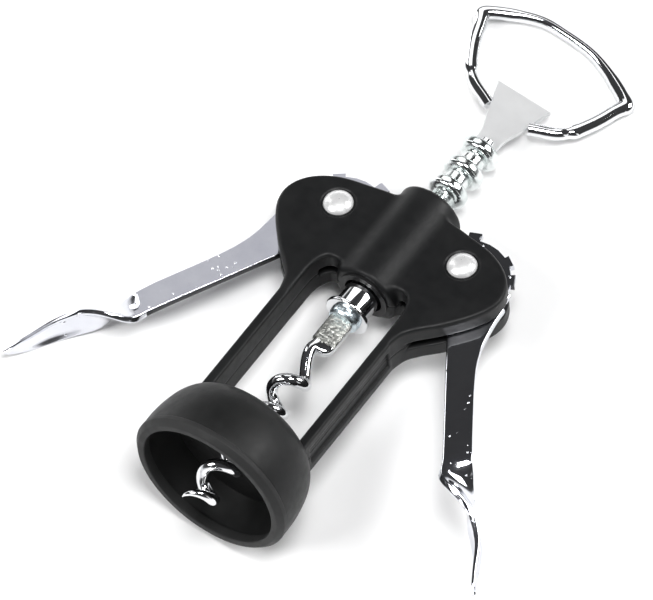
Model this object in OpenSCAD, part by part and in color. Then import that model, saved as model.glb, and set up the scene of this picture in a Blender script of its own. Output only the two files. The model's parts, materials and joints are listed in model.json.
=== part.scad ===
// Double-lever corkscrew with a crown-cap opener in its handle.
// Modelled about the screw axis (x across, y towards the handle, z out of
// the front face, origin level with the two lever pivots), then laid down
// on its side as it rests on a table. Millimetres throughout.

/* [Frame] */
// Distance from the screw axis to each lever pivot
pivot_x = 17; // [16.9:0.05:17.1]
// Half thickness of the frame across the two lobes
lobe_z = 5.5; // [5.4:0.1:5.5]
// Half height of the slot that the levers turn in
slot_z = 1.15; // [1.1:0.05:1.3]
// Outer radius of the barrel that guides the rack
barrel_r = 8; // [7.8:0.1:8.2]
// Bore of the barrel, which the two bushes press into
barrel_bore = 5.9; // [5.8:0.05:6]
// Half depth of each leg
leg_z = 5.2; // [5:0.1:5.3]

/* [Bell] */
// Inner radius of the bell at its mouth
mouth_r = 17.3; // [17:0.1:17.5]
// Largest outer radius of the bell
bell_r = 20.2; // [20.2:0.1:20.5]

/* [Gearing] */
// Gear module shared by the rack and the pinions
gear_m = 2; // [2]
// Teeth on a full pinion circle
pinion_n = 13; // [13]
// Tip radius of the pinion teeth that drive the rack
pinion_tip = 13; // [12.8:0.1:13.1]
// Outer radius of the ribs on the rack
rack_tip = 4.9; // [4.8:0.02:4.92]
// Root radius between the ribs
rack_root = 2.9; // [2.8:0.05:3]

/* [Levers] */
// Thickness of the lever blank
lever_t = 1.8; // [1.6:0.1:1.9]
// Half width of the lever arm
arm_w = 3.35; // [3.1:0.05:3.5]
// Depth of the leaf below the lever plane
tip_drop = 7.9; // [7:0.1:8.5]

/* [Screw] */
// Diameter of the worm wire
wire_d = 2.9; // [2.6:0.1:3]
// Radius of the worm's centre line
helix_r = 2.95; // [2.8:0.05:3]
// Pitch of the worm
helix_p = 9.2; // [9:0.1:9.3]

/* [Handle] */
// Diameter of the bar that forms the loop
bar_d = 3; // [2.8:0.1:3.2]
// Thickness of the opener plate
plate_t = 1.6; // [1.4:0.1:1.8]

/* [Resting pose] */
// Sideways lean of the body as it lies on the table, degrees
roll = 7.8; // [7.8]
// Slope of the screw axis down towards the handle, degrees
pitch = 7.4; // [7.4]
// Height of the pivot level above the table
lift = 10.74; // [10.74]
// Shift that centres the footprint across
shift_x = -0.96; // [-0.96]
// Shift that centres the footprint lengthwise
shift_y = 6.23; // [6.23]

/* [Hidden] */
$fn = 64;
rack_p = PI * gear_m;            // rack pitch, equal to the pinion's
rp = gear_m * pinion_n / 2;      // pinion pitch radius
rack_x = pivot_x - rp;           // rack pitch line
arm_a = 32.5;                    // right arm's direction, degrees from -y
arm_l = 29.7;                    // left arm's direction, set a little lower
spin_a = 2.5;                    // the handle lies on its end and one corner
charcoal = [0.11, 0.11, 0.115];
chrome = [0.82, 0.83, 0.85];
satin = [0.7, 0.71, 0.72];

// ---- helpers ----------------------------------------------------------
module place() translate([shift_x, shift_y, lift])
    rotate([-pitch, 0, 0]) rotate([0, -roll, 0]) children();
// the handle and worm are turned about the screw axis so the loop lies flat
module spun() place() rotate([0, roll + spin_a, 0]) children();
// solid of revolution about the y axis, profile given as [radius, y]
module turned(pts) rotate([-90, 0, 0]) rotate_extrude()
    polygon([for (p = pts) [p[0], p[1]]]);
module ycyl(r, y0, y1) translate([0, y0, 0]) rotate([-90, 0, 0])
    cylinder(r = r, h = y1 - y0);
module zcyl(r, z0, z1) translate([0, 0, z0]) cylinder(r = r, h = z1 - z0);
function cr(a, b, c, d, t) = 0.5 * ((2 * b) + (c - a) * t
    + (2 * a - 5 * b + 4 * c - d) * t * t
    + (3 * b - a - 3 * c + d) * t * t * t);
// smooth open curve through points, n steps to a span
function spline(P, n) = let (m = len(P) - 1)
    concat([for (i = [0 : m - 1]) for (k = [0 : n - 1])
        cr(P[max(i - 1, 0)], P[i], P[i + 1], P[min(i + 2, m)], k / n)],
        [P[m]]);
function mirror_x(P) = [for (i = [len(P) - 1 : -1 : 0]) [-P[i][0], P[i][1]]];
function ss(t) = let (u = min(max(t, 0), 1)) u * u * (3 - 2 * u);
// table lookup with smooth steps, rows of [key, value]
function ease(T, u, i = 0) = u <= T[0][0] ? T[0][1]
    : i >= len(T) - 1 ? T[len(T) - 1][1]
    : u <= T[i + 1][0] ? T[i][1] + (T[i + 1][1] - T[i][1])
        * (u - T[i][0]) / (T[i + 1][0] - T[i][0])
    : ease(T, u, i + 1);
// closed skin over rings of equal count
module skin(R) {
    m = len(R); k = len(R[0]);
    polyhedron(points = [for (r = R) for (p = r) p],
        faces = concat([[for (j = [0 : k - 1]) j]],
            [for (i = [0 : m - 2]) for (j = [0 : k - 1])
                [i * k + j, (i + 1) * k + j, (i + 1) * k + (j + 1) % k,
                 i * k + (j + 1) % k]],
            [[for (j = [k - 1 : -1 : 0]) (m - 1) * k + j]]));
}

// ---- frame ------------------------------------------------------------
leg_out = 15.2;                  // outer side of each leg
leg_in = 12.7;                   // inner side of each leg
lobe_pts = [[0, 9.2], [5.5, 9.1], [10, 8.7], [14, 8], [18.3, 7.3],
    [21.7, 6.3], [25, 4.6], [27.5, 2.5], [29.3, -0.2], [30, -3.4],
    [29.3, -6.9], [27.2, -10.6], [24.5, -14], [21.6, -17.2],
    [18.6, -20], [16.2, -23], [leg_out, -26.5]];
arch_pts = [[6.3, -14.6], [7.2, -13.4], [9, -12.9], [10.8, -13.5],
    [12, -15.4], [12.6, -18], [leg_in, -20.5]];
leg_end = -61.5;
outline = let (h = concat(spline(lobe_pts, 4), [[leg_out, leg_end]]))
    concat(h, mirror_x(h));
window = let (h = concat([[0, -14.6]], spline(arch_pts, 4),
    [[leg_in, leg_end - 1]])) concat(h, mirror_x(h));
module shell_half() {
    difference() {
        union() {
            // lobe plate with the window and legs
            linear_extrude(height = lobe_z) difference() {
                polygon(outline);
                polygon(window);
            }
            // barrel
            ycyl(barrel_r, -15, 12.6);
        }
        // keep the front half only
        translate([-40, -90, -20]) cube([80, 140, 20]);
        // thin the legs to their own depth
        translate([-20, -90, leg_z]) cube([40, 62, 4]);
        // rack bore
        ycyl(barrel_bore, -20, 20);
        // slot for each lever: the whole lobe outside the barrel
        for (s = [-1, 1]) {
            translate([s * pivot_x, 0, 0]) zcyl(13.4, -1, slot_z);
            translate([s > 0 ? 16.4 : -40, -26, -1]) cube([23.6, 50, slot_z + 1]);
            translate([s > 0 ? 8.6 : -16.5, -15.5, -1]) cube([7.9, 30, slot_z + 1]);
            // hole for the pivot sleeve
            translate([s * pivot_x, 0, 0]) zcyl(3, -1, 10);
            // lengthwise groove along the outer side of the leg
            translate([s > 0 ? leg_out - 0.7 : -leg_out - 1.3, -59, -1])
                cube([2, 32, 3.6]);
        }
    }
}
module front_shell() color(charcoal) place() shell_half();
module rear_shell() color(charcoal) place() mirror([0, 0, 1]) shell_half();

// bell: a domed cup, open at the mouth, with a flat ring inside it that
// stops on the rim of the bottle, and a pocket at the top for the legs
bell_out = [[9, -58.6], [13, -59.0], [15.5, -60.2], [17.4, -62.2],
    [18.8, -65], [19.7, -68.6], [20.1, -72.2], [bell_r, -75.4]];
module bell() color(charcoal) place() difference() {
    turned(concat([[6.9, -58.6]], [for (p = spline(bell_out, 4))
        [min(p[0], bell_r), p[1]]], [[18.6, -75.4], [18.0, -72],
        [17.2, -69], [16.4, -66.5], [6.9, -66.5]]));
    for (s = [-1, 1]) translate([s > 0 ? leg_in - 0.05 : -leg_out - 0.05,
        leg_end - 0.05, -leg_z - 0.05])
        cube([leg_out - leg_in + 0.1, 6, 2 * leg_z + 0.1]);
}
// lip ring: the paler band round the mouth
module bell_lip_ring() color([0.2, 0.2, 0.205]) place()
    turned([[mouth_r, -77.9], [18.9, -77.9], [19.8, -77.3], [bell_r, -76.3],
        [bell_r, -75.4], [18.6, -75.4], [17.5, -75.4]]);
module screw_guide_bush() color([0.2, 0.2, 0.2]) place()
    turned([[5.2, -67.1], [8.2, -67.1], [8.2, -66.5], [6.9, -66.5],
        [6.9, -57.6], [5.6, -57.6], [5.2, -58.2]]);
module upper_rack_bush() color([0.85, 0.85, 0.82]) place()
    turned([[4.97, 8.4], [barrel_bore, 8.4], [barrel_bore, 12.6],
        [6.4, 12.6], [6.4, 13.2], [4.97, 13.2]]);
module lower_rack_bush() color([0.85, 0.85, 0.82]) place()
    turned([[4.97, -15.6], [6.4, -15.6], [6.4, -15], [barrel_bore, -15],
        [barrel_bore, -8.4], [4.97, -8.4]]);

// ---- lever pivots -----------------------------------------------------
head_pts = [[0, 7.1], [1.4, 6.95], [2.5, 6.55], [3.2, 6], [3.5, 5.5]];
module rivet(s) color(satin) place() translate([s * pivot_x, 0, 0])
    rotate_extrude() polygon(concat([[0, -6.7]], [[1.6, -6.7], [2.2, -6.4],
        [2.2, -6.1], [1.9, -6.1], [1.9, 5.5], [3.5, 5.5]],
        [for (i = [len(head_pts) - 1 : -1 : 0]) head_pts[i]]));
module left_pivot_rivet() rivet(-1);
module right_pivot_rivet() rivet(1);
module sleeve(s) color(satin) place() translate([s * pivot_x, 0, 0])
    difference() { zcyl(3, -5.5, 5.5); zcyl(1.9, -9, 9); }
module left_pivot_sleeve() sleeve(-1);
module right_pivot_sleeve() sleeve(1);
module rivet_washers() color(satin) place() for (s = [-1, 1])
    translate([s * pivot_x, 0, 0]) difference() {
        zcyl(3.6, -6.1, -5.5);
        zcyl(1.9, -9, 9);
    }

// ---- levers -----------------------------------------------------------
// involute flank of the pinion: polar point at radius r, half tooth angle
pa = 20;
rb = rp * cos(pa);
function inv(a) = tan(a) * 180 / PI - a;
tooth_t = 2.95;                  // tooth thickness on the pitch circle
function half_a(r) = tooth_t / 2 / rp * 180 / PI + inv(pa)
    - (r <= rb ? 0 : inv(acos(rb / r)));
root_r = 10.9;
// one driving tooth as a polygon, centred on angle a
module tooth(a, tip) rotate(a) polygon(concat([[root_r - 1, -2.2]],
    [for (i = [0 : 5]) let (r = max(rb - 1.3, root_r) + (tip - max(rb - 1.3, root_r)) * i / 5)
        [r * cos(half_a(r)), -r * sin(half_a(r))]],
    [for (i = [5 : -1 : 0]) let (r = max(rb - 1.3, root_r) + (tip - max(rb - 1.3, root_r)) * i / 5)
        [r * cos(half_a(r)), r * sin(half_a(r))]], [[root_r - 1, 2.2]]));
step_a = 360 / pinion_n;
// flat blank of the right lever, drawn about the pivot at the resting angle
arm_pts_out = [[9, 9.6], [12, 7.9], [16, 6.1], [20.5, 4.5], [26, 3.6], [32, arm_w]];
module blank(arm) {
    circle(r = root_r);
    for (k = [0 : 4]) tooth(180 + step_a * (1.5 - k), pinion_tip);
    for (k = [6 : 8]) tooth(180 + step_a * (1.5 - k), 11.9);
    rotate(arm - 90) polygon(concat([[0, -arm_w], [0, 9]],
        spline(arm_pts_out, 4), [[45, arm_w], [45, -arm_w]]));
}
// twisted end of the lever: rings of a flattened oval along the arm
tw_w = [[44, 3.35], [50, 3.35], [52, 3.7], [54, 4.2], [58, 4.5], [61, 4.1],
    [64, 3.6], [70, 3.1], [76, 2.5], [79.5, 1.6], [82, 0.35]];
tw_a = [[44, 0], [49, 0], [50, 5], [54, 35], [58, 66], [61, 85], [64, 97],
    [70, 98], [76, 91], [82, 86]];
tw_v = [[44, 0], [50, 0], [54, -0.3], [58, 0.8], [64, 3.2], [70, 4.2], [76, 4],
    [82, 3.7]];
tw_z = [[44, 0], [49, 0], [51, -0.5], [54, -2.1], [58, -3.9], [64, -6.1],
    [70, -7.4], [76, -tip_drop], [82, 0.3 - tip_drop]];
tw_t = [[44, 0.9], [56, 0.9], [70, 0.8], [78, 0.6], [82, 0.3]];
function oval(w, t) = [[w, 0], [w * 0.94, t * 0.8], [w * 0.55, t], [0, t],
    [-w * 0.55, t], [-w * 0.94, t * 0.8], [-w, 0], [-w * 0.94, -t * 0.8],
    [-w * 0.55, -t], [0, -t], [w * 0.55, -t], [w * 0.94, -t * 0.8]];
module spoon(sw) skin([for (i = [0 : 38]) let (u = 44 + i,
        a = -ease(tw_a, u), bow = sw * u * ss((u - 50) / 14))
    [for (p = oval(ease(tw_w, u), ease(tw_t, u)))
        [u, bow + ease(tw_v, u) + p[0] * cos(a) - p[1] * sin(a),
         ease(tw_z, u) + p[0] * sin(a) + p[1] * cos(a)]]]);
module lever(arm) translate([pivot_x, 0, 0]) union() {
    difference() {
        translate([0, 0, -lever_t / 2]) linear_extrude(height = lever_t) blank(arm);
        zcyl(3.06, -3, 3);
    }
    rotate([0, 0, arm - 90]) spoon(tan(arm_a - arm));
}
module right_lever() color(chrome) place() lever(arm_a);
module left_lever() color(chrome) place() mirror([1, 0, 0]) lever(arm_l);

// ---- rack -------------------------------------------------------------
rib_half = 1.475;                // half rib thickness on the pitch line
rack_end = 33;                   // top of the plain neck above the last rib
function rib(y) = let (tp = tan(pa)) [
    [rack_root, y - rib_half - (rack_x - rack_root) * tp],
    [rack_tip - 0.35, y - rib_half + (rack_tip - 0.35 - rack_x) * tp],
    [rack_tip, y - rib_half + (rack_tip - 0.35 - rack_x) * tp + 0.4],
    [rack_tip, y + rib_half - (rack_tip - 0.35 - rack_x) * tp - 0.4],
    [rack_tip - 0.35, y + rib_half - (rack_tip - 0.35 - rack_x) * tp],
    [rack_root, y + rib_half + (rack_x - rack_root) * tp]];
module rack_sleeve() color(chrome) place() turned(concat(
    [[1.95, -14.5]], [for (k = [-2 : 5]) for (p = rib(k * rack_p)) p],
    [[rack_root, rack_end], [1.95, rack_end]]));

// ---- turning screw ----------------------------------------------------
module spindle() color(chrome) spun() difference() {
    ycyl(1.88, -21.3, 35);
    translate([-3, 34.2, 0]) rotate([0, 90, 0]) cylinder(r = 0.5, h = 6);
}
module worm_collar() color(chrome) spun() difference() {
    turned([[0, -21.4], [4, -21.4], [4.35, -21], [4.35, -15.2],
        [3.9, -14.75], [0, -14.75]]);
    ycyl(1.88, -21.3, 0);
}
module collar_washer() color(satin) spun()
    turned([[0, -22.4], [5.3, -22.4], [5.65, -22.1], [5.65, -21.7],
        [5.3, -21.4], [0, -21.4]]);
module worm_ferrule() color([0.78, 0.82, 0.86]) spun() difference() {
    turned([[0, -24.4], [3.3, -24.4], [3.7, -23.9], [3.9, -22.4], [0, -22.4]]);
    translate([-3.02, -24.9, -1.42]) cube([6.04, 2.2, 2.84]);
}
// worm wire: a flattened shank, then a bend out to the coil, then the point
sh_top = -22.75;
tip_y = -83.8;
crest_y = -42.9;                 // first crest of the coil, out to the right
// turn angle: an even helix below the first crest, dying away above it
bend_l = 1.2;
function hx(y) = 360 / helix_p * (y < crest_y ? y - crest_y
    : bend_l * (1 - exp(-(y - crest_y) / bend_l)));
function wr(y) = ease([[tip_y, 0.12], [tip_y + 1.2, 0.55],
    [tip_y + 3.6, wire_d / 2], [0, wire_d / 2]], y);
// blend from the axis to the coil
function kx(y) = ss((-34 - y) / 10);
// the wire leaves the left side of the flat
function sx(y) = -1.55 * ss((-31.5 - y) / 2.6) * (1 - kx(y));
function wc(y) = [sx(y) + helix_r * kx(y) * cos(hx(y)), y, -helix_r * kx(y) * sin(hx(y))];
function unit(v) = v / norm(v);
ring_n = 10;
rings = 132;
module coil() skin([for (i = [0 : rings]) let (t = i / rings,
        y = sh_top + (tip_y - sh_top) * t,
        c = wc(y), d = unit(wc(y - 0.05) - wc(y + 0.05)),
        e = unit(cross(d, [0, 0, 1])), f = cross(d, e), r = wr(y),
        b = ss((-31.5 - y) / 2.6), ww = 3 + (r - 3) * b, tt = 1.4 + (r - 1.4) * b)
    [for (j = [0 : ring_n - 1]) let (a = 360 * j / ring_n)
        c + e * ww * cos(a) + f * tt * sin(a)]]);
module worm() color(chrome) spun() coil();

// ---- handle -----------------------------------------------------------
loop_pts = [[5.4, 43.6], [8, 44.9], [11, 46.1], [13.6, 48.3], [15.6, 51.8],
    [17.4, 55.6], [18.7, 59.6], [19.9, 62.2], [18.6, 63.6], [15.6, 65.3],
    [11.4, 67.3], [6, 69.1], [0, 69.7]];
loop_half = spline(loop_pts, 4);
loop_line = concat(loop_half, [for (i = [len(loop_half) - 2 : -1 : 0])
    [-loop_half[i][0], loop_half[i][1]]]);
module loop_bar() skin([for (i = [0 : len(loop_line) - 1])
    let (n = len(loop_line) - 1, a = loop_line[max(i - 1, 0)],
        b = loop_line[min(i + 1, n)], d = unit([b[0] - a[0], b[1] - a[1]]),
        c = loop_line[i])
    [for (j = [0 : 9]) let (t = 36 * j)
        [c[0] + d[1] * bar_d / 2 * cos(t), c[1] - d[0] * bar_d / 2 * cos(t),
         bar_d / 2 * sin(t)]]]);
module handle_loop() color(chrome) spun() loop_bar();
plate_pts = [[2.9, 33.4], [2.9, 36], [3.5, 38.6], [4.6, 41.4], [5.2, 43.6],
    [6, 46.4], [7.2, 50]];
module opener_plate() color(satin) spun() difference() {
    translate([0, 0, -plate_t / 2]) linear_extrude(height = plate_t)
        polygon(concat(plate_pts, mirror_x(plate_pts)));
    // seats for the two ends of the loop
    for (s = [0, 1]) mirror([s, 0, 0]) translate([5.42, 43.6, -2])
        rotate(atan2(loop_half[1][1] - loop_half[0][1],
            loop_half[1][0] - loop_half[0][0]))
            translate([0, -bar_d / 2 - 0.02, 0]) cube([9, bar_d + 0.04, 4]);
    ycyl(1.88, 30, 35);
    translate([-3, 34.2, 0]) rotate([0, 90, 0]) cylinder(r = 0.5, h = 6);
}
// cross pin through the forked neck of the plate and the spindle
module handle_pin() color(satin) spun() translate([-2.9, 34.2, 0])
    rotate([0, 90, 0]) cylinder(r = 0.5, h = 5.8);

front_shell();
rear_shell();
bell();
bell_lip_ring();
screw_guide_bush();
upper_rack_bush();
lower_rack_bush();
left_pivot_rivet();
right_pivot_rivet();
left_pivot_sleeve();
right_pivot_sleeve();
rivet_washers();
left_lever();
right_lever();
rack_sleeve();
spindle();
worm();
worm_collar();
collar_washer();
worm_ferrule();
handle_loop();
opener_plate();
handle_pin();
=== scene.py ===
import bpy, json, math
import numpy as np
from mathutils import Matrix, Vector

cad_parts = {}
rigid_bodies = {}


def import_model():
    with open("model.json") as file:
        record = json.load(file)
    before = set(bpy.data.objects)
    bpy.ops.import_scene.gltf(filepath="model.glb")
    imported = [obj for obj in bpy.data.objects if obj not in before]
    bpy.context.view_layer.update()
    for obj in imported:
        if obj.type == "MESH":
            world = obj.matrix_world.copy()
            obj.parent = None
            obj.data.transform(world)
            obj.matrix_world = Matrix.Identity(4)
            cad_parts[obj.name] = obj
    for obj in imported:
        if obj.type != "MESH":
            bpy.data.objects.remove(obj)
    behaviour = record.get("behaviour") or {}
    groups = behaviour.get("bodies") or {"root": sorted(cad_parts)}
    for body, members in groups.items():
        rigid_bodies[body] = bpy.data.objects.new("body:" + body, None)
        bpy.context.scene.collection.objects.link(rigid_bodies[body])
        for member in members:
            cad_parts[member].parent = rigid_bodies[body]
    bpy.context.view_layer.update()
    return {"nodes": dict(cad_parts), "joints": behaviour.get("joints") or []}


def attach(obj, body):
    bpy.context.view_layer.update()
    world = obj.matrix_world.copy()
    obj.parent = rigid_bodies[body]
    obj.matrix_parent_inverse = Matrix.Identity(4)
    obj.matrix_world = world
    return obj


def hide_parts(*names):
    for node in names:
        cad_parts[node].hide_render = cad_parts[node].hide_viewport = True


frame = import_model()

# ---------------------------------------------------------------- the body's own frame
# x across, y along the screw axis towards the handle, z out of the front face, millimetres.
J = {j["name"]: j for j in frame["joints"]}
ez = np.array(J["right_lever_pivot"]["axis"], float); ez /= np.linalg.norm(ez)
ey = np.array(J["rack_slide"]["axis"], float); ey /= np.linalg.norm(ey)
ex = np.cross(ey, ez); ex /= np.linalg.norm(ex); ez = np.cross(ex, ey)
pr = np.array(J["right_lever_pivot"]["pos_m"], float)
pl = np.array(J["left_lever_pivot"]["pos_m"], float)
ORG = (pr + pl) / 2
BODY = np.stack([ex, ey, ez], 1)                 # body -> row
sx = np.array([1.0, 0, 0]); sx -= ey * (sx @ ey); sx /= np.linalg.norm(sx)
sz = np.cross(sx, ey)
TILT = math.radians(2.5)                         # the loop lies on its end and one corner
SPUN = np.stack([math.cos(TILT) * sx - math.sin(TILT) * sz, ey, math.sin(TILT) * sx + math.cos(TILT) * sz], 1)
PX = 17.0                                        # pivot to screw axis


def row(v, basis=None):
    return (np.asarray(v, float) @ (BODY if basis is None else basis).T) / 1000.0 + ORG


# ---------------------------------------------------------------- small maths
def ss(t):
    t = np.clip(t, 0, 1)
    return t * t * (3 - 2 * t)


def curve(xs, ys, q):
    """Smooth curve through a table, monotone between its rows."""
    xs, ys, q = np.asarray(xs, float), np.asarray(ys, float), np.asarray(q, float)
    h = np.diff(xs); d = np.diff(ys) / h
    m = np.zeros(len(xs)); m[0], m[-1] = d[0], d[-1]
    for i in range(1, len(xs) - 1):
        m[i] = 0 if d[i - 1] * d[i] <= 0 else 3 * (h[i - 1] + h[i]) / ((2 * h[i] + h[i - 1]) / d[i - 1] + (h[i] + 2 * h[i - 1]) / d[i])
    k = np.clip(np.searchsorted(xs, q, side="right") - 1, 0, len(xs) - 2)
    t = np.clip((q - xs[k]) / h[k], 0, 1)
    return ((1 + 2 * t) * (1 - t) ** 2 * ys[k] + t * (1 - t) ** 2 * h[k] * m[k]
            + t * t * (3 - 2 * t) * ys[k + 1] + t * t * (t - 1) * h[k] * m[k + 1])


def spline(P, n):
    P = np.asarray(P, float); out = []
    for i in range(len(P) - 1):
        a, b, c, d = P[max(i - 1, 0)], P[i], P[i + 1], P[min(i + 2, len(P) - 1)]
        for k in range(n):
            t = k / n
            out.append(0.5 * (2 * b + (c - a) * t + (2 * a - 5 * b + 4 * c - d) * t * t + (3 * b - a - 3 * c + d) * t ** 3))
    out.append(P[-1])
    return np.array(out)


def noise3(p, seed=0):
    """Smooth value noise on points p (n,3), in -1..1, the same each run."""
    i = np.floor(p).astype(np.int64); f = p - i; f = f * f * (3 - 2 * f)
    def h(a):
        n = (a[..., 0] * 374761393 + a[..., 1] * 668265263 + a[..., 2] * 2147483647 + seed * 974711) & 0x7fffffff
        n = ((n ^ (n >> 13)) * 1274126177) & 0x7fffffff
        return ((n ^ (n >> 16)) & 0xffff) / 32767.5 - 1
    r = 0
    for dx in (0, 1):
        for dy in (0, 1):
            for dz in (0, 1):
                w = (f[:, 0] if dx else 1 - f[:, 0]) * (f[:, 1] if dy else 1 - f[:, 1]) * (f[:, 2] if dz else 1 - f[:, 2])
                r = r + w * h(i + np.array([dx, dy, dz]))
    return r


# ---------------------------------------------------------------- mesh makers
def make(name, verts, faces, mat, body, basis=None, smooth=True, sharp=None, replaces=()):
    me = bpy.data.meshes.new(name)
    me.from_pydata([tuple(v) for v in row(verts, basis)], [], [tuple(int(i) for i in f) for f in faces])
    me.validate()
    o = bpy.data.objects.new(name, me)
    bpy.context.scene.collection.objects.link(o)
    import bmesh
    bm = bmesh.new(); bm.from_mesh(me)
    bmesh.ops.recalc_face_normals(bm, faces=bm.faces)
    bm.to_mesh(me); bm.free()
    for p in me.polygons:
        p.use_smooth = smooth
    if sharp is not None:
        me.set_sharp_from_angle(angle=math.radians(sharp))
    me.materials.append(mat)
    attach(o, body)
    if replaces:
        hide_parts(*replaces)
    return o


def tube(rings, cap=True):
    """Closed skin over rings (m, k, 3)."""
    R = np.asarray(rings, float); m, k = R.shape[:2]
    V = list(R.reshape(-1, 3)); F = []
    for i in range(m - 1):
        for j in range(k):
            F.append((i * k + j, (i + 1) * k + j, (i + 1) * k + (j + 1) % k, i * k + (j + 1) % k))
    if cap:
        for i, rev in ((0, True), (m - 1, False)):
            c = len(V); V.append(R[i].mean(0))
            for j in range(k):
                a, b = i * k + j, i * k + (j + 1) % k
                F.append((a, b, c) if rev else (b, a, c))
    return np.array(V), F


def lathe(profile, n=128):
    """Solid of revolution about y from a closed (r, y) outline; points with r = 0 are shared."""
    P = np.asarray(profile, float)
    V = []; idx = []
    th = np.linspace(0, 2 * np.pi, n, endpoint=False)
    for r, y in P:
        if r < 1e-6:
            idx.append([len(V)] * n); V.append((0, y, 0))
        else:
            idx.append(list(range(len(V), len(V) + n)))
            V += [(r * math.cos(t), y, r * math.sin(t)) for t in th]
    F = []
    m = len(P)
    for i in range(m):
        a, b = idx[i], idx[(i + 1) % m]
        if a[0] == a[1] and b[0] == b[1]:
            continue
        for j in range(n):
            k = (j + 1) % n
            q = [a[j], a[k], b[k], b[j]]
            q = [v for t, v in enumerate(q) if v not in q[:t]]
            if len(q) > 2:
                F.append(tuple(q))
    return np.array(V), F


def round_profile(P, radii, n=5):
    """Rounds the corners of a closed outline; radii is one number or one a corner."""
    P = np.asarray(P, float); out = []
    m = len(P)
    for i in range(m):
        a, b, c = P[i - 1], P[i], P[(i + 1) % m]
        r = radii[i] if hasattr(radii, "__len__") else radii
        u, v = a - b, c - b
        lu, lv = np.linalg.norm(u), np.linalg.norm(v)
        if r <= 0 or lu < 1e-9 or lv < 1e-9:
            out.append(b); continue
        u, v = u / lu, v / lv
        ang = math.acos(float(np.clip(u @ v, -1, 1)))
        if ang > math.radians(172):
            out.append(b); continue
        t = min(r / math.tan(ang / 2), lu * 0.48, lv * 0.48)
        p, q = b + u * t, b + v * t
        for k in range(n + 1):
            s = k / n
            out.append((1 - s) ** 2 * p + 2 * s * (1 - s) * b + s * s * q)
    return np.array(out)


def poly_sd(poly, X, Y):
    """Signed distance from a closed outline on a grid, negative inside."""
    P = np.asarray(poly, np.float32); Q = np.roll(P, -1, 0)
    d = np.full(X.shape, 1e9, np.float32); s = np.ones(X.shape, np.float32)
    for (ax, ay), (bx, by) in zip(P, Q):
        ex_, ey_ = bx - ax, by - ay
        L = ex_ * ex_ + ey_ * ey_
        if L < 1e-12:
            continue
        wx, wy = X - ax, Y - ay
        t = np.clip((wx * ex_ + wy * ey_) / L, 0, 1)
        qx, qy = wx - ex_ * t, wy - ey_ * t
        d = np.minimum(d, qx * qx + qy * qy)
        c1, c2, c3 = Y >= ay, Y < by, ex_ * wy > ey_ * wx
        f = (c1 & c2 & c3) | (~c1 & ~c2 & ~c3)
        s = np.where(f, -s, s)
    return s * np.sqrt(d)


def smin(a, b, k):
    h = np.clip(k - np.abs(a - b), 0, None) / k
    return np.minimum(a, b) - h * h * k * 0.25


def smax(a, b, k):
    return -smin(-a, -b, k)


def rounded(d2, dz, r):
    """Extrusion of a flat shape d2 with end distance dz, its edges rounded by r."""
    a, b = d2 + r, dz + r
    return np.minimum(np.maximum(a, b), 0) + np.sqrt(np.maximum(a, 0) ** 2 + np.maximum(b, 0) ** 2) - r


def surface_nets(D, lo, step):
    """Quads over the zero level of a distance grid D."""
    S = D < 0
    nx, ny, nz = D.shape
    cx, cy, cz = nx - 1, ny - 1, nz - 1
    corners = [(a, b, c) for a in (0, 1) for b in (0, 1) for c in (0, 1)]
    cnt = np.zeros((cx, cy, cz), np.int8)
    for a, b, c in corners:
        cnt += S[a:a + cx, b:b + cy, c:c + cz]
    mixed = (cnt > 0) & (cnt < 8)
    I = np.argwhere(mixed)
    index = np.full((cx, cy, cz), -1, np.int64); index[mixed] = np.arange(len(I))
    acc = np.zeros((len(I), 3)); num = np.zeros(len(I))
    vals = {c: D[I[:, 0] + c[0], I[:, 1] + c[1], I[:, 2] + c[2]] for c in corners}
    for a in corners:
        for ax in range(3):
            if a[ax]:
                continue
            b = list(a); b[ax] = 1; b = tuple(b)
            va, vb = vals[a], vals[b]
            cross = (va < 0) != (vb < 0)
            t = np.where(cross, va / np.where(cross, va - vb, 1), 0)
            p = np.array(a, float)[None].repeat(len(I), 0); p[:, ax] += t
            acc[cross] += p[cross]; num[cross] += 1
    V = (I + acc / num[:, None]) * step + lo
    F = []
    for ax in range(3):
        sl0 = [slice(None)] * 3; sl1 = [slice(None)] * 3
        sl0[ax] = slice(0, -1); sl1[ax] = slice(1, None)
        ch = S[tuple(sl0)] != S[tuple(sl1)]
        E = np.argwhere(ch)
        u, w = [(1, 2), (2, 0), (0, 1)][ax]
        E = E[(E[:, u] > 0) & (E[:, w] > 0) & (E[:, u] < D.shape[u] - 1) & (E[:, w] < D.shape[w] - 1)]
        inside = S[tuple(sl0)][E[:, 0], E[:, 1], E[:, 2]]
        def cell(du, dw):
            C = E.copy(); C[:, u] -= du; C[:, w] -= dw
            return index[C[:, 0], C[:, 1], C[:, 2]]
        q = np.stack([cell(1, 1), cell(0, 1), cell(0, 0), cell(1, 0)], 1)
        q[~inside] = q[~inside][:, ::-1]
        F.append(q)
    F = np.concatenate(F)
    F = F[(F >= 0).all(1)]
    # slide each point onto the true surface
    G = np.stack(np.gradient(D, step), -1)
    def sample(A, p):
        q = (p - lo) / step
        i = np.clip(np.floor(q).astype(int), 0, np.array(D.shape) - 2); f = q - i
        r = 0
        for a, b, c in corners:
            w = (f[:, 0] if a else 1 - f[:, 0]) * (f[:, 1] if b else 1 - f[:, 1]) * (f[:, 2] if c else 1 - f[:, 2])
            v = A[i[:, 0] + a, i[:, 1] + b, i[:, 2] + c]
            r = r + (w[:, None] * v if v.ndim == 2 else w * v)
        return r
    for _ in range(3):
        d = sample(D, V); g = sample(G, V)
        n2 = (g * g).sum(1) + 1e-6
        move = -(d / n2)[:, None] * g
        ln = np.linalg.norm(move, axis=1, keepdims=True)
        V = V + move * np.minimum(1, 0.4 * step / np.maximum(ln, 1e-9))
    return V, F


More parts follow.
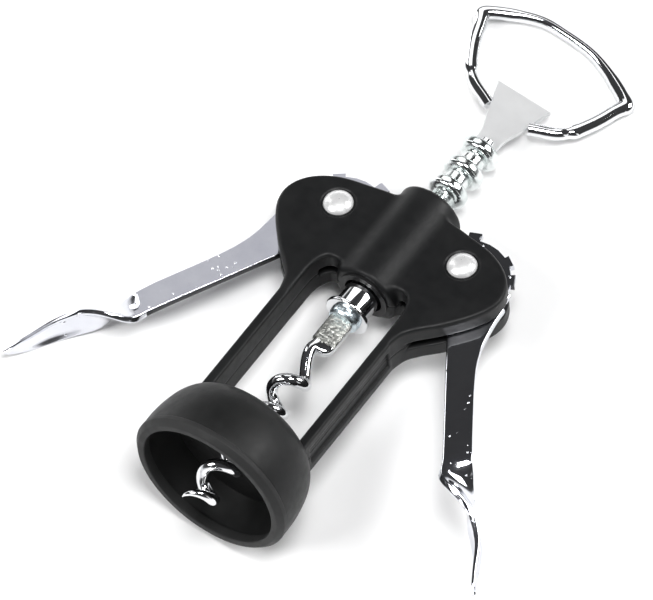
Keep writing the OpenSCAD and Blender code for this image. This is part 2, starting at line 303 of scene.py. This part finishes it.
# ---------------------------------------------------------------- materials
def new_mat(name):
    m = bpy.data.materials.new(name); m.use_nodes = True
    nt = m.node_tree; nt.nodes.clear()
    out = nt.nodes.new("ShaderNodeOutputMaterial"); b = nt.nodes.new("ShaderNodeBsdfPrincipled")
    nt.links.new(b.outputs[0], out.inputs[0])
    tc = nt.nodes.new("ShaderNodeTexCoord")
    return m, nt, b, tc.outputs["Object"]


def add_noise(nt, co, scale, detail=3, rough=0.55, stretch=None):
    n = nt.nodes.new("ShaderNodeTexNoise"); n.inputs["Scale"].default_value = scale
    n.inputs["Detail"].default_value = detail; n.inputs["Roughness"].default_value = rough
    if stretch is not None:
        mp = nt.nodes.new("ShaderNodeMapping"); mp.inputs["Scale"].default_value = stretch
        nt.links.new(co, mp.inputs[0]); co = mp.outputs[0]
    nt.links.new(co, n.inputs["Vector"])
    return n.outputs["Fac"]


def ramp(nt, fac, a, b, lo=0.3, hi=0.7):
    r = nt.nodes.new("ShaderNodeValToRGB")
    r.color_ramp.elements[0].position = lo; r.color_ramp.elements[1].position = hi
    r.color_ramp.elements[0].color = (*a, 1); r.color_ramp.elements[1].color = (*b, 1)
    nt.links.new(fac, r.inputs[0])
    return r.outputs[0]


def mrange(nt, fac, a, b, lo=0.3, hi=0.7):
    r = nt.nodes.new("ShaderNodeMapRange")
    r.inputs["From Min"].default_value = lo; r.inputs["From Max"].default_value = hi
    r.inputs["To Min"].default_value = a; r.inputs["To Max"].default_value = b
    nt.links.new(fac, r.inputs[0])
    return r.outputs[0]


def bump(nt, b, heights):
    """heights: list of (socket, strength, distance in metres)"""
    prev = None
    for fac, st, di in heights:
        n = nt.nodes.new("ShaderNodeBump"); n.inputs["Strength"].default_value = st
        n.inputs["Distance"].default_value = di
        nt.links.new(fac, n.inputs["Height"])
        if prev is not None:
            nt.links.new(prev, n.inputs["Normal"])
        prev = n.outputs[0]
    nt.links.new(prev, b.inputs["Normal"])


def plastic(name, dark, light, r0, r1, grain=0.00004):
    m, nt, b, co = new_mat(name)
    big = add_noise(nt, co, 90, 3)
    fine = add_noise(nt, co, 2600, 2, 0.6)
    mid = add_noise(nt, co, 420, 3)
    nt.links.new(ramp(nt, big, dark, light, 0.35, 0.68), b.inputs["Base Color"])
    nt.links.new(mrange(nt, mid, r0, r1), b.inputs["Roughness"])
    b.inputs["Specular IOR Level"].default_value = 0.26
    bump(nt, b, [(mid, 0.08, 0.0002), (fine, 0.35, grain)])
    return m


def metal(name, c0, c1, r0, r1, wav=0.0, fine=0.0, scale=120, stretch=None, specks=False):
    m, nt, b, co = new_mat(name)
    b.inputs["Metallic"].default_value = 1.0
    big = add_noise(nt, co, scale, 3)
    small = add_noise(nt, co, 1500, 3, 0.6, stretch)
    col = ramp(nt, big, c0, c1)
    nt.links.new(col, b.inputs["Base Color"])
    rough = mrange(nt, small, r0, r1)
    nt.links.new(rough, b.inputs["Roughness"])
    hs = [(big, wav, 0.0006), (small, fine, 0.00003)]
    if specks:
        v = nt.nodes.new("ShaderNodeTexVoronoi"); v.inputs["Scale"].default_value = 620
        nt.links.new(co, v.inputs["Vector"])
        gate = add_noise(nt, co, 150, 2)
        g = mrange(nt, gate, 0, 1, 0.5, 0.62)
        d = mrange(nt, v.outputs["Distance"], 1, 0, 0.05, 0.2)
        mu = nt.nodes.new("ShaderNodeMath"); mu.operation = "MULTIPLY"
        nt.links.new(g, mu.inputs[0]); nt.links.new(d, mu.inputs[1])
        hs.append((mu.outputs[0], 0.9, 0.00025))
    bump(nt, b, hs)
    return m


M_BODY = plastic("charcoal_plastic", (0.0070, 0.0073, 0.0078), (0.0105, 0.0108, 0.0112), 0.38, 0.50)
M_BELL = plastic("charcoal_bell", (0.0075, 0.0078, 0.0080), (0.0115, 0.0118, 0.0118), 0.42, 0.54)
M_LIP = plastic("lip_plastic", (0.017, 0.0173, 0.0175), (0.023, 0.0232, 0.0233), 0.52, 0.64)
M_INNER = plastic("inner_plastic", (0.002, 0.002, 0.0025), (0.004, 0.004, 0.0045), 0.5, 0.65)
M_BUSH = plastic("bush_plastic", (0.010, 0.010, 0.0105), (0.016, 0.016, 0.0165), 0.3, 0.42)
M_CHROME = metal("chrome_plate", (0.78, 0.79, 0.81), (0.86, 0.87, 0.88), 0.04, 0.09, 0.10, 0.05)
M_LEVER = metal("lever_chrome", (0.70, 0.71, 0.76), (0.80, 0.81, 0.85), 0.06, 0.13, 0.08, 0.10, specks=True)
M_WORM = metal("worm_chrome", (0.76, 0.77, 0.79), (0.86, 0.87, 0.88), 0.05, 0.11, 0.15, 0.1, 260)
# painted shade: a dark, dull metal for the levers' inner edges, standing in for a dark reflection
M_PAINTED_SHADE_EDGE = metal("painted_shade_edge", (0.045, 0.046, 0.05), (0.085, 0.086, 0.09), 0.3, 0.45, 0.0, 0.2)
M_SATIN = metal("satin_steel", (0.70, 0.705, 0.71), (0.78, 0.785, 0.79), 0.36, 0.46, 0.04, 0.25)
M_SATIN.node_tree.nodes["Principled BSDF"].inputs["Metallic"].default_value = 0.42
M_RIVET = metal("rivet_steel", (0.86, 0.86, 0.86), (0.93, 0.93, 0.93), 0.26, 0.38, 0.12, 0.2, 300)
M_RIVET.node_tree.nodes["Principled BSDF"].inputs["Metallic"].default_value = 0.5
M_RACK = metal("rack_chrome", (0.66, 0.71, 0.70), (0.88, 0.90, 0.90), 0.10, 0.24, 0.22, 0.25, 420)
M_ZINC = metal("zinc_plate", (0.62, 0.74, 0.80), (0.84, 0.90, 0.93), 0.22, 0.38, 0.25, 0.3, 420)
M_SHANK = metal("worm_shank_rough", (0.20, 0.20, 0.19), (0.52, 0.53, 0.50), 0.25, 0.45, 0.9, 0.6, 900)

# ---------------------------------------------------------------- frame shells
LOBE = [(0, 9.2), (5.5, 9.1), (10, 8.7), (14, 8), (18.3, 7.3), (21.7, 6.3), (25, 4.6), (27.5, 2.5), (29.3, -0.2), (30, -3.4),
        (29.3, -6.9), (27.2, -10.6), (24.5, -14), (21.6, -17.2), (18.6, -20), (16.2, -23), (15.2, -26.5)]
ARCH = [(6.3, -14.6), (7.2, -13.4), (9, -12.9), (10.8, -13.5), (12, -15.4), (12.6, -18), (12.7, -20.5)]


def both(h):
    h = np.asarray(h)
    return np.concatenate([h, (h * [-1, 1])[::-1]])


OUTLINE = both(np.concatenate([spline(LOBE, 5), [[15.2, -61.5]]]))
WINDOW = both(np.concatenate([[[0, -14.6]], spline(ARCH, 5), [[12.7, -64]]]))


def shell_field(X, Y, Z):
    x2, y2 = X[:, :, 0], Y[:, :, 0]
    do = poly_sd(OUTLINE, x2, y2)[:, :, None]
    dw = poly_sd(WINDOW, x2, y2)[:, :, None]
    flat = np.maximum(do, -dw)
    plate = rounded(flat, Z - 5.5, 0.9)
    ax = np.abs(X)
    # legs: an I section, front flange deeper than the web
    leg = rounded(flat, Z - 5.2, 0.6)
    isleg = ss((-24.5 - Y) / 3.0)
    d = plate * (1 - isleg) + leg * isleg
    groove_o = np.maximum(np.maximum(14.5 - ax, Z - 2.6), np.maximum(Y + 27.5, -58.6 - Y))
    d = smax(d, -groove_o, 0.35)
    # barrel with a soft blend into the plate
    rr = np.sqrt(X * X + Z * Z)
    barrel = rounded(rr - 8.0, np.abs(Y + 1.2) - 13.8, 0.9)
    d = smin(d, barrel, 1.6)
    # seat rings round the rivets
    rv = np.sqrt((ax - PX) ** 2 + Y * Y)
    d = smax(d, -np.maximum(np.abs(rv - 3.75) - 0.3, 5.2 - Z), 0.15)
    d = np.maximum(d, -(rv - 3.0))
    # rack bore and the slot that the levers turn in
    d = smax(d, -(rr - 5.9), 0.3)
    slot = np.minimum(rv - 13.4, np.maximum(8.6 - ax, -15.5 - Y))
    slot = np.minimum(slot, np.maximum(16.4 - ax, -26 - Y))
    d = smax(d, -np.maximum(slot, Z - 1.15), 0.25)
    d = np.maximum(d, -Z)
    return d


def build_shell(name, sgn):
    step = 0.27
    lo = np.array([-31.5, -63.0, -0.9]); hi = np.array([31.5, 14.2, 9.0])
    n = np.ceil((hi - lo) / step).astype(int) + 1
    g = [lo[i] + step * np.arange(n[i]) for i in range(3)]
    X, Y, Z = np.meshgrid(*[a.astype(np.float32) for a in g], indexing="ij")
    D = shell_field(X, Y, Z).astype(np.float64)
    V, F = surface_nets(D, lo, step)
    if sgn < 0:
        V = V * [1, 1, -1]; F = F[:, ::-1]
    o = make(name, V, F, M_BODY, "frame", sharp=50, replaces=(name.replace("_moulded", ""),))
    return o


build_shell("front_shell_moulded", 1)
build_shell("rear_shell_moulded", -1)

# ---------------------------------------------------------------- bell, lip ring
bell_o = spline([(9, -58.6), (13, -59.0), (15.5, -60.2), (17.4, -62.2), (18.8, -65), (19.7, -68.6), (20.12, -72.2), (20.1, -75.25), (19.85, -75.45)], 8)
bell_i = spline([(18.6, -75.45), (18.0, -72), (17.2, -69), (16.4, -66.5)], 5)
prof = np.concatenate([[(6.9, -58.6)], bell_o, bell_i, [(6.9, -66.5)]])
V, F = lathe(prof, 160)
make("bell_moulded", V, F, M_BELL, "frame", sharp=40, replaces=("bell",))
lip = round_profile([(17.3, -77.9), (19.0, -77.9), (20.2, -76.6), (20.2, -75.4), (18.6, -75.4), (17.5, -75.4)], [0.35, 0.7, 0.5, 0.3, 0, 0.1])
V, F = lathe(lip, 160)
make("lip_ring_moulded", V, F, M_LIP, "frame", sharp=40, replaces=("bell_lip_ring",))

# ---------------------------------------------------------------- rivets
for s, side in ((-1, "left"), (1, "right")):
    pts = [(0, 7.1), (0.9, 7.06), (1.7, 6.88), (2.4, 6.58), (3.0, 6.15), (3.38, 5.75), (3.5, 5.45), (3.4, 5.2), (1.9, 5.2), (1.9, -6.05), (2.2, -6.1), (2.15, -6.45), (1.6, -6.7), (0, -6.75)]
    P = np.array(pts); n = 64; V = []; 
    V, F = lathe(P, n)                       # about y
    V = V[:, [0, 2, 1]] * [1, 1, 1]          # y -> z
    V = V + [s * PX, 0, 0]
    make(side + "_rivet_domed", V, F, M_RIVET, "frame", sharp=35, replaces=(side + "_pivot_rivet",))

# ---------------------------------------------------------------- levers
ARM = {1: math.radians(32.5), -1: math.radians(29.7)}
LS = [45, 50, 54, 58, 61, 64, 70, 76, 79.5, 81.8]
T_V = [0, -0.05, -0.3, 0.8, 2.1, 3.2, 4.2, 4.0, 3.85, 3.7]
T_Z = [0, -0.35, -1.9, -3.8, -5.1, -6.1, -7.4, -7.9, -7.8, -7.6]
T_W = [3.35, 3.4, 4.1, 4.5, 4.1, 3.6, 3.1, 2.5, 1.55, 0.3]
T_A = [0, 6, 28, 60, 82, 95, 98, 91, 88, 86]


def lever_rings(sgn):
    A0 = ARM[sgn]
    U3 = np.array([math.sin(A0), -math.cos(A0), 0.0]); V3 = np.array([math.cos(A0), math.sin(A0), 0.0])
    u = np.concatenate([np.linspace(9, 46, 38), np.linspace(46.5, 81.8, 106)])
    out_edge = np.where(u < 32, curve([9, 12, 16, 20.5, 26, 32], [9.6, 7.9, 6.1, 4.5, 3.6, 3.35], np.minimum(u, 32)), 3.35)
    w = np.where(u < 45, 3.35, curve(LS, T_W, np.maximum(u, 45)))
    vc = np.where(u < 45, 0, curve(LS, T_V, np.maximum(u, 45)))
    vc = vc + math.tan(ARM[1] - A0) * u * ss((u - 50) / 14)
    zc = np.where(u < 45, 0, curve(LS, T_Z, np.maximum(u, 45)))
    al = -np.radians(np.where(u < 45, 0, curve(LS, T_A, np.maximum(u, 45))))
    th = np.where(u < 60, 0.9, 0.9 - 0.45 * ss((u - 60) / 20))
    cam = 0.9 * ss((u - 53) / 8) * (1 - 0.6 * ss((u - 72) / 9))
    rings = []
    q = np.linspace(-1, 1, 9)
    for i in range(len(u)):
        lo, hi = (-3.35, out_edge[i]) if u[i] < 45 else (-w[i], w[i])
        r = min(0.38, th[i] * 0.75)
        t = min(th[i], max(w[i], 0.3))
        # rounded strip section, counter-clockwise
        top = [(a, t) for a in np.linspace(hi - r, lo + r, 9)]
        lft = [(lo + r - r * math.sin(b), (t - r) + r * math.cos(b)) for b in (0.52, 1.05)] + [(lo, t - r), (lo, -(t - r))] + [(lo + r - r * math.cos(b), -(t - r) - r * math.sin(b)) for b in (0.52, 1.05)]
        bot = [(a, -t) for a in np.linspace(lo + r, hi - r, 9)]
        rgt = [(hi - r + r * math.sin(b), -(t - r) - r * math.cos(b)) for b in (0.52, 1.05)] + [(hi, -(t - r)), (hi, t - r)] + [(hi - r + r * math.cos(b), (t - r) + r * math.sin(b)) for b in (0.52, 1.05)]
        S = np.array(top + lft + bot + rgt)
        half = max((hi - lo) / 2, 1e-3)
        S[:, 1] += cam[i] * (1 - ((S[:, 0] - (hi + lo) / 2) / half) ** 2)
        c, s = math.cos(al[i]), math.sin(al[i])
        P = np.array([PX, 0, 0]) + u[i] * U3
        rings.append(P + np.outer(vc[i] + S[:, 0] * c - S[:, 1] * s, V3) + np.outer(zc[i] + S[:, 0] * s + S[:, 1] * c, [0, 0, 1]))
    return np.array(rings)


def gear_outline():
    rp, rb = 13.0, 13.0 * math.cos(math.radians(20))
    inv = lambda a: math.tan(a) - a
    def half(r):
        return 2.95 / 2 / rp + inv(math.radians(20)) - (0 if r <= rb else inv(math.acos(rb / r)))
    st = 2 * math.pi / 13; pts = []
    for k in range(9):
        tip = 13.0 if k < 5 else (11.9 if k > 5 else 11.0)
        a = math.pi + st * (1.5 - k)
        rs = np.linspace(10.95, tip, 6)
        for r in rs: pts.append((r * math.cos(a + half(r)), r * math.sin(a + half(r))))
        for r in rs[::-1]: pts.append((r * math.cos(a - half(r)), r * math.sin(a - half(r))))
        if k < 8:
            for f in (0.38, 0.5, 0.62):
                b = a - st * f; pts.append((10.9 * math.cos(b), 10.9 * math.sin(b)))
    a_end = math.pi + st * (1.5 - 8); a_beg = math.pi + st * 1.5
    for b in np.linspace(a_end - 0.28, a_beg - 2 * math.pi + 0.28, 24):
        pts.append((10.9 * math.cos(b), 10.9 * math.sin(b)))
    return np.array(pts)


def build_lever(side, sgn):
    R = lever_rings(sgn); V, F = tube(R)
    V = list(V); F = list(F)
    # pinion plate, a hair thinner than the strip, with softened edges
    G = gear_outline()
    cen = G.mean(0)
    layers = [(0.98, -0.86), (1.0, -0.7), (1.0, 0.7), (0.98, 0.86)]
    base = len(V); k = len(G)
    for sc, z in layers:
        for p in G:
            q = p * (sc if sc == 1 else 1 - 0.18 / np.linalg.norm(p))
            V.append((PX + q[0], q[1], z))
    for i in range(3):
        for j in range(k):
            F.append((base + i * k + j, base + i * k + (j + 1) % k, base + (i + 1) * k + (j + 1) % k, base + (i + 1) * k + j))
    # flat faces as rings down to the bore
    bore = 3.06
    ang = np.arctan2(G[:, 1], G[:, 0])
    for lay, z in ((0, -0.86), (3, 0.86)):
        b2 = len(V)
        for a in ang:
            V.append((PX + bore * math.cos(a), bore * math.sin(a), z))
        o0 = base + lay * k
        for j in range(k):
            f = (o0 + j, o0 + (j + 1) % k, b2 + (j + 1) % k, b2 + j)
            F.append(f if lay == 3 else f[::-1])
        if lay == 0: inner0 = b2
        else: inner1 = b2
    for j in range(k):
        F.append((inner0 + j, inner0 + (j + 1) % k, inner1 + (j + 1) % k, inner1 + j))
    V = np.array(V, float)
    if sgn < 0:
        V = V * [-1, 1, 1]; F = [tuple(f[::-1]) for f in F]
    o = make(side + "_lever_formed", V, F, M_LEVER, side + "_lever", sharp=38, replaces=(side + "_lever",))
    # the strip's inner edge is duller and darker than its faces: painted shade, in place of the white floor that
    # this chrome edge would otherwise reflect
    o.data.materials.append(M_PAINTED_SHADE_EDGE)
    for i in range(50):
        for j in (10, 11, 12, 13):
            o.data.polygons[i * 30 + j].material_index = 1
    return o


build_lever("right", 1)
build_lever("left", -1)

# ---------------------------------------------------------------- rack
p = 2 * math.pi
y = np.linspace(-14.5, 33.0, 1100)
ph = (y / p - np.round(y / p)) * p            # distance from the nearest rib centre
def rib_r(d):
    a = np.abs(d)
    # bulbous rib: flat-ish crown, concave root
    return 2.9 + 2.0 * np.clip(1 - ((a / 1.85) ** 3.2), 0, 1) ** 0.62
r = np.where(np.abs(ph) < 1.85, rib_r(ph), 2.9)
r = np.where(y > 5 * p + 2.2, 2.9, r); r = np.where(y < -2 * p - 1.85, 2.9, r)
keep = np.concatenate([[True], np.abs(np.diff(r)) > 1e-4]); keep |= np.roll(keep, -1)
keep[-1] = True
P = np.stack([r, y], 1)[keep]
P = np.concatenate([[(1.95, y[0])], P, [(1.95, y[-1])]])
V, F = lathe(P, 96)
make("rack_sleeve_turned", V, F, M_RACK, "rack", sharp=60, replaces=("rack_sleeve",))

# ---------------------------------------------------------------- turning screw: collar, washer, ferrule, worm
P = round_profile([(0, -21.4), (4.35, -21.4), (4.35, -14.75), (0, -14.75)], [0, 0.45, 0.5, 0], 6)
V, F = lathe(P, 72)
make("worm_collar_turned", V, F, M_CHROME, "screw", SPUN, sharp=40, replaces=("worm_collar",))
P = round_profile([(0, -22.4), (5.65, -22.4), (5.65, -21.4), (0, -21.4)], [0, 0.35, 0.35, 0], 4)
V, F = lathe(P, 72)
make("collar_washer_pressed", V, F, M_CHROME, "screw", SPUN, sharp=40, replaces=("collar_washer",))
P = round_profile([(0, -24.4), (3.3, -24.4), (3.75, -23.8), (3.9, -22.4), (0, -22.4)], [0, 0.25, 0.3, 0.1, 0], 4)
V, F = lathe(P, 64)
make("worm_ferrule_pressed", V, F, M_ZINC, "screw", SPUN, sharp=40, replaces=("worm_ferrule",))

HR, HP, WD, CREST = 2.95, 9.2, 2.9, -42.9
def centre(yy):
    dy = yy - CREST
    a = 2 * np.pi / HP * np.where(dy < 0, dy, 1.2 * (1 - np.exp(-np.maximum(dy, 0) / 1.2)))
    k = ss((-34 - yy) / 10)
    off = -1.55 * ss((-31.5 - yy) / 2.6) * (1 - k)   # the wire leaves the left side of the flat
    return np.stack([off + HR * k * np.cos(a), yy, -HR * k * np.sin(a)], -1)
yy = np.concatenate([np.linspace(-22.75, -31, 60), np.linspace(-31.1, -83.8, 480)])
C = centre(yy); Dr = centre(yy - 0.02) - centre(yy + 0.02); Dr /= np.linalg.norm(Dr, axis=1, keepdims=True)
rings = []
nr = 28
th = np.linspace(0, 2 * np.pi, nr, endpoint=False)
for i in range(len(yy)):
    e = np.cross(Dr[i], [0, 0, 1]); e /= np.linalg.norm(e); f = np.cross(Dr[i], e)
    rr = float(np.interp(yy[i], [-83.8, -83.3, -82.2, -80.2, 0], [0.1, 0.42, 0.85, WD / 2, WD / 2]))
    b = float(ss((-31.5 - yy[i]) / 2.6))
    ww = 3.0 + (rr - 3.0) * b; tt = 1.3 + (rr - 1.3) * b
    ex_p = 0.45 + 0.55 * b            # squarer section on the pressed flat
    ca, sa = np.cos(th), np.sin(th)
    px = ww * np.sign(ca) * np.abs(ca) ** ex_p; pz = tt * np.sign(sa) * np.abs(sa) ** ex_p
    rings.append(C[i] + np.outer(px, e) + np.outer(pz, f))
R = np.array(rings)
V, F = tube(R)
flat = (V[:, 1] > -31.6) & (V[:, 1] < -24.2)
k = noise3(V * 2.6, 3) * 0.6 + noise3(V * 5.0, 5) * 0.4
V[:, 2] += np.where(flat, np.sign(V[:, 2]) * 0.22 * k * ss((31.6 + V[:, 1]) / 1.5), 0)
o = make("worm_wire", V, F, M_WORM, "screw", SPUN, sharp=70, replaces=("worm",))
o.data.materials.append(M_SHANK)
bi = np.linalg.inv(SPUN)
for q in o.data.polygons:
    c = bi @ ((np.array(q.center) - ORG) * 1000); nn = bi @ np.array(q.normal)
    if -31.8 < c[1] < -24.0 and abs(nn[2]) > 0.6:
        q.material_index = 1

# ---------------------------------------------------------------- handle loop and opener plate
LOOP = [(5.4, 43.6), (8, 44.9), (11, 46.1), (13.6, 48.3), (15.6, 51.8), (17.4, 55.6), (18.7, 59.6), (19.9, 62.2), (18.6, 63.6),
        (15.6, 65.3), (11.4, 67.3), (6, 69.1), (0, 69.7)]
h = spline(LOOP, 16)
L = np.concatenate([h, (h[:-1] * [-1, 1])[::-1]])
lf = L[:, 0] < 0
L[lf, 1] += 0.9 * ss((L[lf, 1] - 50) / 15) * ss(-L[lf, 0] / 9)
L[lf, 0] -= 0.35 * ss((L[lf, 1] - 46) / 12) * ss(-L[lf, 0] / 9)
# even spacing, then smoothed away from the corners
sl = np.concatenate([[0], np.cumsum(np.linalg.norm(np.diff(L, axis=0), axis=1))])
q_ = np.linspace(0, sl[-1], 420)
L = np.stack([np.interp(q_, sl, L[:, 0]), np.interp(q_, sl, L[:, 1])], 1)
keep_ = np.ones(len(L))
for cx_, cy_ in ((19.9, 62.2), (-20.2, 63.0)):
    keep_ *= 1 - np.exp(-((L[:, 0] - cx_) ** 2 + (L[:, 1] - cy_) ** 2) / 2.4)
for _ in range(90):
    M_ = L.copy(); M_[1:-1] = 0.25 * L[:-2] + 0.5 * L[1:-1] + 0.25 * L[2:]
    L += (M_ - L) * keep_[:, None]
n = len(L); rings = []
tang = np.gradient(L, axis=0); tang /= np.linalg.norm(tang, axis=1, keepdims=True)
th = np.linspace(0, 2 * np.pi, 56, endpoint=False)
for i in range(n):
    nx, ny = tang[i][1], -tang[i][0]
    ax_, ay_ = abs(L[i][0]), L[i][1]
    rr = 1.5 + 0.18 * ss((ax_ - 12) / 3) - 0.32 * ss((16.5 - ax_) / 14) * ss((ay_ - 61) / 4)                   # slimmer over the arch
    rr += 0.32 * math.exp(-((ax_ - 19.6) ** 2 + (ay_ - 62.6) ** 2) / 2.2)          # full corners
    rr -= 0.30 * math.exp(-((ax_ - 13.3) ** 2 + (ay_ - 48.0) ** 2) / 0.7)          # pinch where the bar was bent
    rr += 0.14 * math.exp(-((ax_ - 14.6) ** 2 + (ay_ - 49.6) ** 2) / 0.9)
    zr = 1.5 - 0.10 * math.exp(-((ax_ - 13.3) ** 2 + (ay_ - 48.0) ** 2) / 0.9)
    rings.append([(L[i][0] + nx * rr * math.cos(t), L[i][1] + ny * rr * math.cos(t), zr * math.sin(t)) for t in th])
V, F = tube(rings)
make("handle_loop_bar", V, F, M_CHROME, "screw", SPUN, sharp=60, replaces=("handle_loop",))
half = np.array([(2.9, 33.4), (2.9, 36), (3.5, 38.6), (4.6, 41.4), (5.2, 43.6), (6, 46.4), (7.2, 50)])
pts = np.concatenate([half, (half * [-1, 1])[::-1]])
hs = spline(half, 6); pts = np.concatenate([hs, (hs * [-1, 1])[::-1]])
cx = np.array([0, 42.0])
V = []; F = []
k = len(pts)
lay = [(0.18, -0.8), (0.0, -0.62), (0.0, 0.62), (0.18, 0.8)]
for ins, z in lay:
    for q in pts:
        dxy = np.array([-np.sign(q[0]) * min(ins, abs(q[0])), (ins if q[1] < 34 else (-ins if q[1] > 49.9 else 0))])
        V.append((q[0] + dxy[0], q[1] + dxy[1], z))
for i in range(3):
    for j in range(k):
        F.append((i * k + j, i * k + (j + 1) % k, (i + 1) * k + (j + 1) % k, (i + 1) * k + j))
m = len(hs)
for base, rev in ((0, True), (3 * k, False)):
    for j in range(m - 1):
        q = (base + j, base + j + 1, base + k - 2 - j, base + k - 1 - j)
        F.append(q[::-1] if rev else q)
make("opener_plate_pressed", np.array(V), F, M_SATIN, "screw", SPUN, sharp=30, replaces=("opener_plate",))

# ---------------------------------------------------------------- CAD nodes kept as they are
def finish_node(name, mat, width=0.0):
    o = frame["nodes"][name]
    o.data.materials.clear(); o.data.materials.append(mat)
    for q in o.data.polygons: q.use_smooth = True
    o.data.set_sharp_from_angle(angle=math.radians(35))
for name, mat in (("screw_guide_bush", M_INNER), ("upper_rack_bush", M_BUSH), ("lower_rack_bush", M_BUSH), ("left_pivot_sleeve", M_SATIN),
                  ("right_pivot_sleeve", M_SATIN), ("rivet_washers", M_SATIN), ("spindle", M_CHROME), ("handle_pin", M_SATIN)):
    finish_node(name, mat)

# ---------------------------------------------------------------- floor, lights, camera
me = bpy.data.meshes.new("floor")
S = 6.0
me.from_pydata([(-S, -S, 0), (S, -S, 0), (S, S, 0), (-S, S, 0)], [], [(0, 1, 2, 3)])
floor = bpy.data.objects.new("floor", me); bpy.context.scene.collection.objects.link(floor)
fm, nt, b, co = new_mat("studio_floor")
nt.links.new(ramp(nt, add_noise(nt, co, 3, 2), (0.93, 0.93, 0.93), (0.95, 0.95, 0.95)), b.inputs["Base Color"])
b.inputs["Roughness"].default_value = 0.9
b.inputs["Specular IOR Level"].default_value = 0.1
me.materials.append(fm)


def area(name, loc, target, size, power, col=(1, 1, 1), size_y=None):
    d = bpy.data.lights.new(name, "AREA"); d.energy = power; d.color = col
    d.shape = "RECTANGLE"; d.size = size; d.size_y = size_y or size
    o = bpy.data.objects.new(name, d); bpy.context.scene.collection.objects.link(o)
    o.location = loc
    v = Vector(target) - Vector(loc)
    o.rotation_euler = v.to_track_quat("-Z", "Y").to_euler()
    return o


def at(x, y, z):
    return tuple(row([x, y, z]))


def card(name, centre_b, target_b, size, size_y, radiance, col=(1, 1, 1)):
    """A glowing card placed in the body's frame, its brightness given as radiance."""
    a = size * size_y
    return area(name, at(*centre_b), at(*target_b), size, radiance * math.pi * a, col, size_y)


# directions are in the body's frame; the flat lever faces mirror the point (-0.38, 0.46, 0.80)
refl = np.array([-0.377, 0.46, 0.804])
c = np.array([-40.0, -28.0, 0.0]) + 230 * refl
lever_card = card("lever_card", tuple(c), (-40, -28, 0), 0.26, 0.30, 0.60, (0.95, 0.95, 1.0))
area("key_softbox", (-0.55, -0.75, 0.95), (0, 0, 0), 0.55, 10.0)
area("back_softbox", (0.75, 0.85, 0.85), (0, 0, 0), 0.6, 10.5)
area("top_softbox", (0.25, -0.05, 1.5), (0, 0, 0), 0.5, 14.5)
area("right_strip", (1.25, -0.35, 0.55), (0, 0, 0), 0.25, 0.7, (1, 1, 1), 0.9)
area("left_strip", (-1.3, 0.25, 0.5), (0, 0, 0), 0.25, 2.4, (1, 1, 1), 0.9)

def linked(light, names):
    c_ = bpy.data.collections.new(light.name + "_receivers")
    for o_ in bpy.data.objects:
        if o_.name in names:
            c_.objects.link(o_)
    light.light_linking.receiver_collection = c_


POLISHED = ["handle_loop_bar", "rack_sleeve_turned", "worm_collar_turned", "collar_washer_pressed",
            "worm_ferrule_pressed", "spindle"]
over = card("overhead_card", tuple(620 * refl + np.array([-30.0, 60.0, 0.0])), (0, 20, 0), 0.42, 0.42, 1.5)
linked(over, POLISHED)
over2 = card("worm_card", tuple(620 * refl), (0, -50, 0), 0.30, 0.30, 1.3)
linked(over2, ["worm_wire"])
linked(lever_card, ["left_lever_formed"])

w = bpy.data.worlds.new("studio"); bpy.context.scene.world = w; w.use_nodes = True
wn = w.node_tree; bg = wn.nodes["Background"]
tc = wn.nodes.new("ShaderNodeTexCoord"); sep = wn.nodes.new("ShaderNodeSeparateXYZ")
wn.links.new(tc.outputs["Generated"], sep.inputs[0])
cr = wn.nodes.new("ShaderNodeValToRGB")
cr.color_ramp.elements[0].position = 0.0; cr.color_ramp.elements[0].color = (1.0, 1.0, 1.0, 1)
cr.color_ramp.elements[1].position = 1.0; cr.color_ramp.elements[1].color = (0.05, 0.05, 0.055, 1)
for pos_, v in ((0.07, 0.85), (0.17, 0.10), (0.34, 0.045), (0.75, 0.045)):
    e = cr.color_ramp.elements.new(pos_); e.color = (v, v, v * 1.02, 1)
wn.links.new(sep.outputs["Z"], cr.inputs[0]); wn.links.new(cr.outputs[0], bg.inputs["Color"])
bg.inputs["Strength"].default_value = 1.0

# camera, set in the body's frame
Rc = np.array([[0.8232, 0.5634, -0.0705], [0.4216, -0.6897, -0.5887], [-0.3803, 0.4549, -0.8053]])
U_, S_, Vt_ = np.linalg.svd(Rc); Rc = U_ @ Vt_
pos = np.array([1245.8, -1519.6, 2655.1]); fpx = 14550.0
aim = Rc.T @ np.array([(326.5 - 323.3) / fpx, (300 - 293.4) / fpx, 1.0]); aim /= np.linalg.norm(aim)
down = Rc[1] - aim * (Rc[1] @ aim); down /= np.linalg.norm(down)
right = np.cross(down, aim)
cb = np.stack([right, -down, -aim], 1)            # camera axes in the body frame
cr_ = BODY @ cb
mat = Matrix([[*cr_[0], 0], [*cr_[1], 0], [*cr_[2], 0], [0, 0, 0, 1]])
mat.translation = Vector(row(pos))
cd = bpy.data.cameras.new("camera"); cam = bpy.data.objects.new("camera", cd); bpy.context.scene.collection.objects.link(cam)
cam.matrix_world = mat
cd.sensor_fit = "HORIZONTAL"; cd.sensor_width = 36.0; cd.lens = fpx * 36.0 / 653.0
cd.clip_start = 0.05; cd.clip_end = 50
bpy.context.scene.camera = cam
bpy.context.scene.view_settings.view_transform = "Standard"
